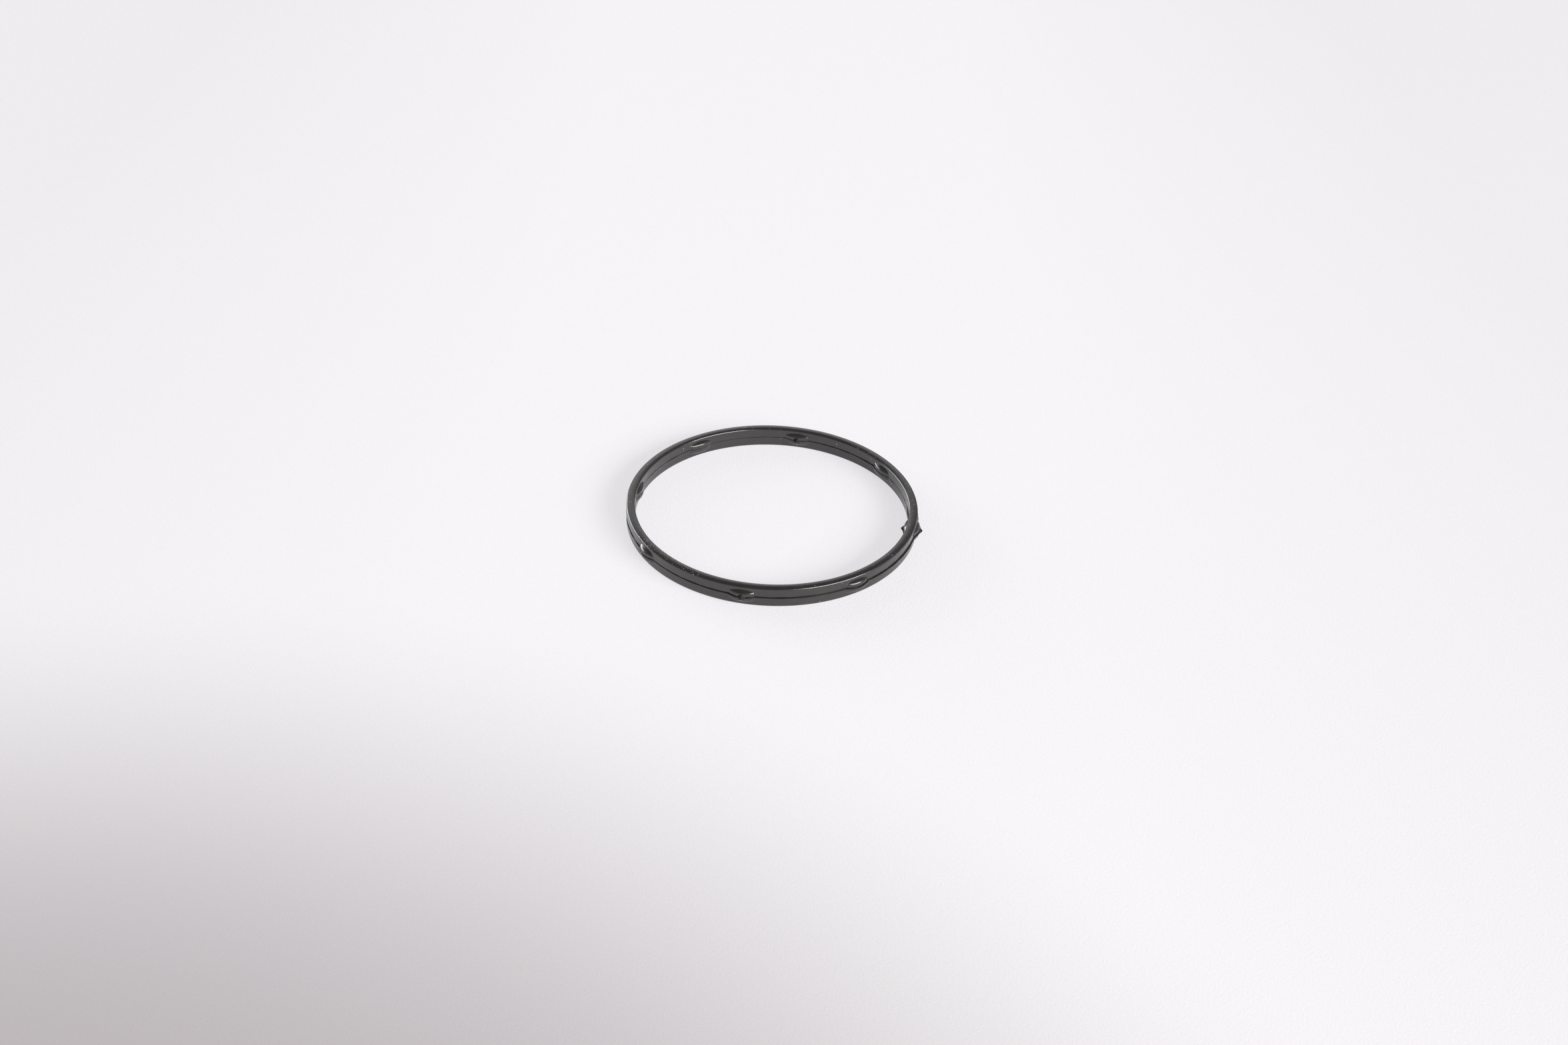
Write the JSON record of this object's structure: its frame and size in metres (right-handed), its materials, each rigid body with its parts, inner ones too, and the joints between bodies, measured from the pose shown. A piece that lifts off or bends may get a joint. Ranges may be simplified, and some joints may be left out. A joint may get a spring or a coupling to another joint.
{
  "type": "rubber sealing ring",
  "caption": "Rubber sealing ring with a tall, narrow section and grip nubs on both walls, pressed into a groove to seal a flat joint.",
  "frame": {"origin": "centre of the ring at its rest face", "axes": "+Z along the ring's axis, from the rest face to the sealing face; +X through the middle of a plain nub pair, so that the pairs with gate pips lie between the axes, and the place with only an inner nub at 135 degrees from +X towards +Y"},
  "size_m": [0.062, 0.062, 0.0043],
  "materials": {
    "rubber": "satin black moulded rubber"
  },
  "bodies": {
    "root": {"seal_ring": "rubber"}
  },
  "joints": []
}
